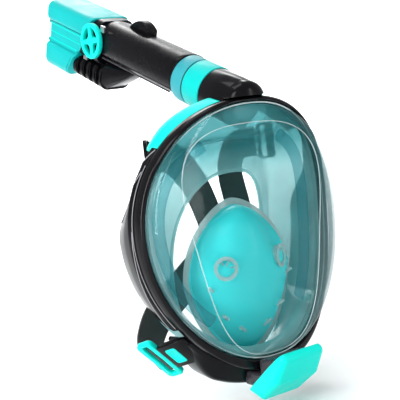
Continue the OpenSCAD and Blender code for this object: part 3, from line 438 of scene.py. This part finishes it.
# blade nose
rows = []
for i in range(25):
    t = i / 24; z = lerp(159, 200, t); x = lerp(5.6, 17, t ** .8); y1 = lerp(18.9, 45, t ** .85)
    rows.append([L((px_, py_, z)) for px_, py_ in rrect(-x, x, 17.5, y1, min(.4 * (y1 - 17.5), 9), 6)])
v, f = skin(rows); obj("intake_nose", v, f, M_BLACK, "snorkel", [], angle=60)
for sx in (-1, 1):
    # painted highlight: dark grey lines along the intake nose
    tube(f"nose_highlight_line_{'l' if sx < 0 else 'r'}", [L((sx * lerp(5.6, 17, t ** .8) * .94, lerp(18.9, 45, t ** .85) - .7 * (1 - t) - 3.2 * t, lerp(160, 192, t))) for t in np.linspace(0, 1, 20)], .5, M_GREY_HIGHLIGHT, body="snorkel")
rows = []
for i in range(17):
    t = i / 16; z = lerp(151, 181, t); h = 9.2 * math.sin(math.pi * min(1, .12 + t * .86)) ** .7
    rows.append([L((px_, py_, z)) for px_, py_ in rrect(-1, 11, -22.6 - h, -18.6, 2.4, 5)])
v, f = skin(rows); obj("vent_pod", v, f, M_TUBE, "snorkel", ["rear_vent"], angle=50)
# dial: rim, curved-free straight spokes and hub, front face along -X
def dialp(r, a, x): return L((x, -1.3 + r * sc(a)[0], 212.9 + r * sc(a)[1]))
q = fillet([(DR - 4.2, -20.9), (DR, -20.9), (DR, -26.3), (DR - 4.2, -26.3)], 1.5, 4)
v, f = skin([[dialp(r_, a, x_) for r_, x_ in q] for a in np.arange(0, 360, 3)], wrap=True)
obj("dial_rim", v, f, M_WEDGE, "dial", ["dial_wheel"], angle=60)
for i in range(4):
    a0 = i * 90 + 20; q2 = fillet([(-2.3, -21.7), (2.3, -21.7), (2.3, -25.6), (-2.3, -25.6)], 1, 3); rws = []
    for r_ in np.linspace(3, DR - 3, 9):
        wd = lerp(1.35, .9, (r_ - 3) / (DR - 6)); u_ = sc(a0); rws.append([L((x_, -1.3 + r_ * u_[0] + h_ * wd * u_[1], 212.9 + r_ * u_[1] - h_ * wd * u_[0])) for h_, x_ in q2])
    v, f = skin(rws); obj(f"dial_spoke_{i}", v, f, M_WEDGE, "dial", [], angle=60)
q = fillet([(.3, -20.9), (5.6, -20.9), (5.6, -25.9), (.3, -25.9)], 1.2, 4)
v, f = skin([[dialp(r_, a, x_) for r_, x_ in q] for a in np.arange(0, 360, 6)], wrap=True); obj("dial_hub", v, f, M_WEDGE, "dial", [], angle=60)

# ---------------------------------------------------------------- strap hardware
CX = np.array([.682, -.017, -.732]); CY = np.array([-.302, .905, -.302]); CZ = np.array([.668, .427, .612]); CO = np.array([-81.0, 5, -70])
def K(p, m=1): q = CO + CX * p[0] + CY * p[1] + CZ * p[2]; return q * [m, 1, 1]
def slab_hole(name, out, hole, z0, z1, mat, rep, m=1, r=.7, place=K, body="mask"):
    """rounded frame with a hole: two outlines of equal point count joined into a ring"""
    rws = []
    n = len(out)
    for i in range(n):
        o_, h_ = np.array(out[i]), np.array(hole[i]); d = o_ - h_; ln = np.linalg.norm(d); e = r / max(ln, r * 2.2)
        rws.append([place((*(h_ + d * t), z), m) for t, z in ((e, z0), (1 - e, z0), (1, z0 + r), (1, z1 - r), (1 - e, z1), (e, z1), (0, z1 - r), (0, z0 + r))])
    v, f = skin(rws, wrap=True); return obj(name, v, f, mat, body, rep, angle=60)
def dens(p, n=96):
    p = [np.array(q, float) for q in p]; L_ = [0]
    for i in range(len(p)): L_.append(L_[-1] + np.linalg.norm(p[(i + 1) % len(p)] - p[i]))
    out = []
    for k in range(n):
        s = L_[-1] * k / n; i = max(j for j in range(len(p)) if L_[j] <= s + 1e-9); t = (s - L_[i]) / max(1e-9, L_[i + 1] - L_[i]); out.append(p[i] * (1 - t) + p[(i + 1) % len(p)] * t)
    # order by angle so outer and inner match
    c = sum(out) / n; return sorted(out, key=lambda q: math.atan2(q[1] - c[1], q[0] - c[0]))
def polar(p, n=120):
    p = [np.array(q, float) for q in p]; c = sum(p) / len(p); out = []
    for k in range(n):
        d = np.array([sc(k * 360 / n)[1], sc(k * 360 / n)[0]]); best = None
        for i in range(len(p)):
            a, b = p[i] - c, p[(i + 1) % len(p)] - p[i]; den = d[0] * b[1] - d[1] * b[0]
            if abs(den) < 1e-9: continue
            t = (a[0] * b[1] - a[1] * b[0]) / den; u = (a[0] * d[1] - a[1] * d[0]) / den
            if t > 0 and -1e-6 <= u <= 1 + 1e-6 and (best is None or t > best): best = t
        out.append(c + d * best)
    return out
for m, sd in ((1, "left"), (-1, "right")):
    slab_hole(f"clip_{sd}", polar(rrect(-24, 24, -8.2, 8.2, 4)), polar(rrect(-20, 20, -3.4, 3.6, 1.5)), -2.4, 2.4, M_WEDGE, [f"strap_clip_{sd}"], m)
    rws = []
    for yy, hx, z0, z1 in ((-8.3, 12, -1.2, 1.8), (-8.7, 14.5, -2.2, 2.5), (-10, 15, -2.4, 2.6), (-20, 15, -2.4, 2.9), (-30, 15, -2.4, 3.4), (-34.5, 13.8, -1, 4), (-37.6, 12.4, .4, 4.5), (-38.5, 11, 1.4, 3.8)):
        rws.append([K((x_, yy, z_), m) for x_, z_ in rrect(-hx, hx, z0, z1, 1.2, 5)])
    v, f = skin(rws); obj(f"strap_arm_{sd}", v, f, M_BLACK, "mask", [f"clip_arm_{sd}"], angle=50)
    rws = []
    for s_, z_ in ((.8, -1.0), (1, -1.4), (1, -2.3), (.96, -2.8), (.8, -3.0), (.74, -2.6)):
        rws.append([K((x_ * s_, -19.5 + (y_ + 19.5) * s_, z_), m) for x_, y_ in rrect(-9.7, 9.7, -25.2, -13.8, 2.4, 6)])
    v, f = skin(rws); obj(f"latch_{'l' if m > 0 else 'r'}_button", v, f, M_WEDGE, f"latch_{'l' if m > 0 else 'r'}", [f"latch_{sd}"], angle=50)
def strap(name, pts, w0, w1, W, Tk, rep, sag=0):
    p = smooth3(pts, 14); m = len(p); rws = []
    for i in range(m):
        tg = p[min(m - 1, i + 1)] - p[max(0, i - 1)]; tg /= np.linalg.norm(tg); wv = lerp(np.array(w0, float), np.array(w1, float), sm(i / (m - 1) * (1.35 if sag else 1))); wv = wv - tg * (wv @ tg); wv /= np.linalg.norm(wv); nv = np.cross(tg, wv)
        out = []
        for x_, z_ in rrect(-W / 2, W / 2, -Tk / 2, Tk / 2, Tk * .42, 3): out.append(p[i] + wv * x_ + nv * z_)
        rws.append(out)
    v, f = skin(rws); return obj(name, v, f, M_STRAP, "mask", rep, angle=60)
strap("strap_up_left", [[-60.5, 16.8, 103], [-48, 25, 103], [-26, 30, 97], [-8, 28, 73], [3, 26, 42], [5, 26, 31], [6, 26, 22]], [.25, 0, 1], [.95, 0, .3], 29, 2.4, ["strap_upper_left"], 1)
strap("strap_up_right", [[60.5, 16.8, 103], [54, 24, 103], [44, 30, 97], [35, 28, 77], [38.5, 26, 45], [38.5, 26, 31], [37.5, 26, 22]], [-.25, 0, 1], [-.95, 0, .05], 29, 2.4, ["strap_upper_right"], 1)
END = [(0, 14, 5.2), (0, 7, 5.2), (0, 2.4, 4.4), (0, .2, 1.4), (0, .1, -1)]
strap("strap_low_left", [[3, 28.7, 5], [-9.2, 30.2, -3], [-30, 34.4, -20], [-58, 36, -42], [-75, 29, -61]] + [K(q, 1) for q in END], [.5, 0, -.86], CX.tolist(), 33, 2.4, ["strap_lower_left"])
strap("strap_low_right", [[39, 28.7, 5], [52.3, 30.2, -3], [63, 34.4, -19], [71, 35, -40], [78, 28, -61]] + [K(q, -1) for q in END], [-.5, 0, -.86], [-.682, -.017, -.732], 33, 2.4, ["strap_lower_right"])
pp = [(-7, 26), (8, 28.2), (22, 29.6), (36, 28.2), (50, 28.5), (51, 8), (46, -12), (30, -24), (12, -24), (-3, -12), (-8, 8)]
pf = fillet(pp, 6, 5); c_ = np.mean(pf, 0); rws = []
for s_, y_ in ((.97, 0), (1, -.5), (1, -2.1), (.97, -2.6)): rws.append([np.array([c_[0] + (x - c_[0]) * s_, 27.3 + y_, c_[1] + (z - c_[1]) * s_]) for x, z in pf])
v, f = skin(rws); obj("strap_back", v, f, M_STRAP, "mask", ["strap_pad"], angle=50)

# ---------------------------------------------------------------- chin
def blob(name, cs, rs, mat, rep, cut=None, vox=.9, body="mask"):
    """rounded hull of spheres, cut by the given planes and shaded smooth"""
    import bmesh
    pts = []
    for (x, y, z), r_ in zip(cs, rs):
        for sx in ((-1, 1) if x else (1,)):
            for i in range(0, 25):
                for j in range(0, 48):
                    th, ph = math.pi * i / 24, 2 * math.pi * j / 48; pts.append((sx * x + r_ * math.sin(th) * math.cos(ph), y + r_ * math.sin(th) * math.sin(ph), z + r_ * math.cos(th)))
    bm = bmesh.new(); [bm.verts.new(p) for p in pts]; r = bmesh.ops.convex_hull(bm, input=bm.verts); bmesh.ops.delete(bm, geom=[g_ for g_ in r["geom_interior"] if isinstance(g_, bmesh.types.BMVert)], context="VERTS")
    if cut:
        for co_, no_ in cut: 
            bmesh.ops.bisect_plane(bm, geom=bm.verts[:] + bm.edges[:] + bm.faces[:], plane_co=co_, plane_no=no_, clear_outer=True)
            bmesh.ops.holes_fill(bm, edges=[e for e in bm.edges if e.is_boundary], sides=0)
    bmesh.ops.remove_doubles(bm, verts=bm.verts[:], dist=.01); bm.verts.index_update()
    vs = [v_.co[:] for v_ in bm.verts]; fs = [tuple(v_.index for v_ in f_.verts) for f_ in bm.faces]; bm.free()
    return obj(name, vs, fs, mat, body, rep, angle=30)
# outward plane normals of the visor's inner face
ca, sa = math.cos(rad(141.2)), math.sin(rad(141.2)); pn = Vector((0, -sa, ca)); pc = Vector((0, -79, -74))
blob("chin_visor", [(18, -85, -73.5), (19, -75, -91), (17, -54, -107), (19, -62, -70), (18, -38, -103)], [6, 6, 6, 4, 4.5], M_WEDGE, ["chin_cover"], cut=[(pc + pn * 0, -pn)])
def chin_sec(a):
    g = sm((a - 226) / 20) * sm((314 - a) / 20); fr = dep(a) + .4
    return [(3, fr), (9.8, fr), (10.6 + 13 * g, fr + 7), (11 + 14 * g, fr + 12), (9 + 13 * g, fr + 32 + 6 * g), (5 + 8 * g, fr + 34 + 6 * g), (4 + 3.5 * g, fr + 24)]
v, f = band_ring(225, 315, 80, chin_sec, 3.2, 5)
obj("chin_shell", v, f, M_BLACK, "mask", ["chin_housing"], angle=50)
# painted highlight: the dark grey rods along the chin boss
blob("chin_duct_upper", [(20, -59.2, -78.5), (20, -74, -76), (20, -59.2, -98), (20, -74, -90)], [2.5, 2, 2.5, 2], M_GREY_HIGHLIGHT, [], cut=[(pc + pn * -.3, pn)])
blob("chin_duct_lower", [(21, -58, -99), (21, -38, -99), (21, -58, -91), (21, -38, -91)], [2.4, 2.4, 2.4, 2.4], M_GREY_HIGHLIGHT, [], cut=[(pc + pn * -.3, pn)])

# ---------------------------------------------------------------- camera, light, floor
cam = bpy.data.cameras.new("camera"); co = bpy.data.objects.new("camera", cam); bpy.context.scene.collection.objects.link(co)
R_ = (.79858, -.59126, -.11263); U_ = (.1559, .02245, .98752); B_ = (-.58135, -.80617, .1101)
co.matrix_world = Matrix([[R_[i], U_[i], B_[i], (-.52548, -.69615, .15556)[i]] for i in range(3)] + [[0, 0, 0, 1]])
cam.lens = 88.01; cam.sensor_width = 36; cam.sensor_fit = "HORIZONTAL"; cam.clip_start = .01; cam.clip_end = 60
bpy.context.scene.camera = co
def area(name, loc, size, power, tgt=(0, 0, .06), color=(1, 1, 1)):
    l = bpy.data.lights.new(name, "AREA"); l.size = size; l.energy = power; l.color = color
    ob = bpy.data.objects.new(name, l); ob.location = loc; ob.rotation_euler = (Vector(tgt) - Vector(loc)).to_track_quat("-Z", "Y").to_euler(); bpy.context.scene.collection.objects.link(ob); return ob
area("key", (-1.5, -1.0, 1.3), .9, 17, (0, 0, .05)); area("rim", (.5, 1.5, 1.0), .8, 9); area("top", (-.2, .1, 1.9), 1.0, 9)
area("backdrop", (1.6, 2.2, 3.0), 2.4, 420, (4.0, 5.5, .3)); area("floor_wash", (1.3, 2.0, 2.4), 1.6, 60, (1.9, 2.8, -.12))
l = area("strip", (-1.35, -.12, .12), .2, 20, (-.08, -.03, .03)); l.data.shape = "RECTANGLE"; l.data.size_y = 1.3
l = area("strip_right", (.9, -1.5, .35), .16, 5, (.02, 0, .04)); l.data.shape = "RECTANGLE"; l.data.size_y = 1.1
bpy.context.scene.view_settings.view_transform = "Standard"
w = bpy.data.worlds.new("studio"); bpy.context.scene.world = w; w.use_nodes = True
w.node_tree.nodes["Background"].inputs["Color"].default_value = (.96, .975, .98, 1); w.node_tree.nodes["Background"].inputs["Strength"].default_value = .5
# pale floor that sweeps up behind
prof = [(-9 + i * .3, -.1245) for i in range(44)]
base = prof[-1][0]
for i in range(1, 25):
    s, c_ = sc(i * 90 / 24); prof.append((base + 3 * s, -.1245 + 3 * (1 - c_)))
prof += [(base + 3, 4 + i) for i in range(4)]
vs, fs = [], []
for x in (-14, 14):
    for y, z in prof: vs.append((x, y, z))
k_ = len(prof); fs = [(i, k_ + i, k_ + i + 1, i + 1) for i in range(k_ - 1)]
rz = Matrix.Rotation(rad(-35.8), 3, "Z"); vs = [tuple(rz @ Vector(p)) for p in vs]
me = bpy.data.meshes.new("floor"); me.from_pydata(vs, [], fs); me.polygons.foreach_set("use_smooth", [True] * len(me.polygons))
fl = bpy.data.objects.new("floor", me); bpy.context.scene.collection.objects.link(fl); me.materials.append(plastic("floor_pale", (.9, .91, .915), .8, .01, 60, .008, spec=.1))
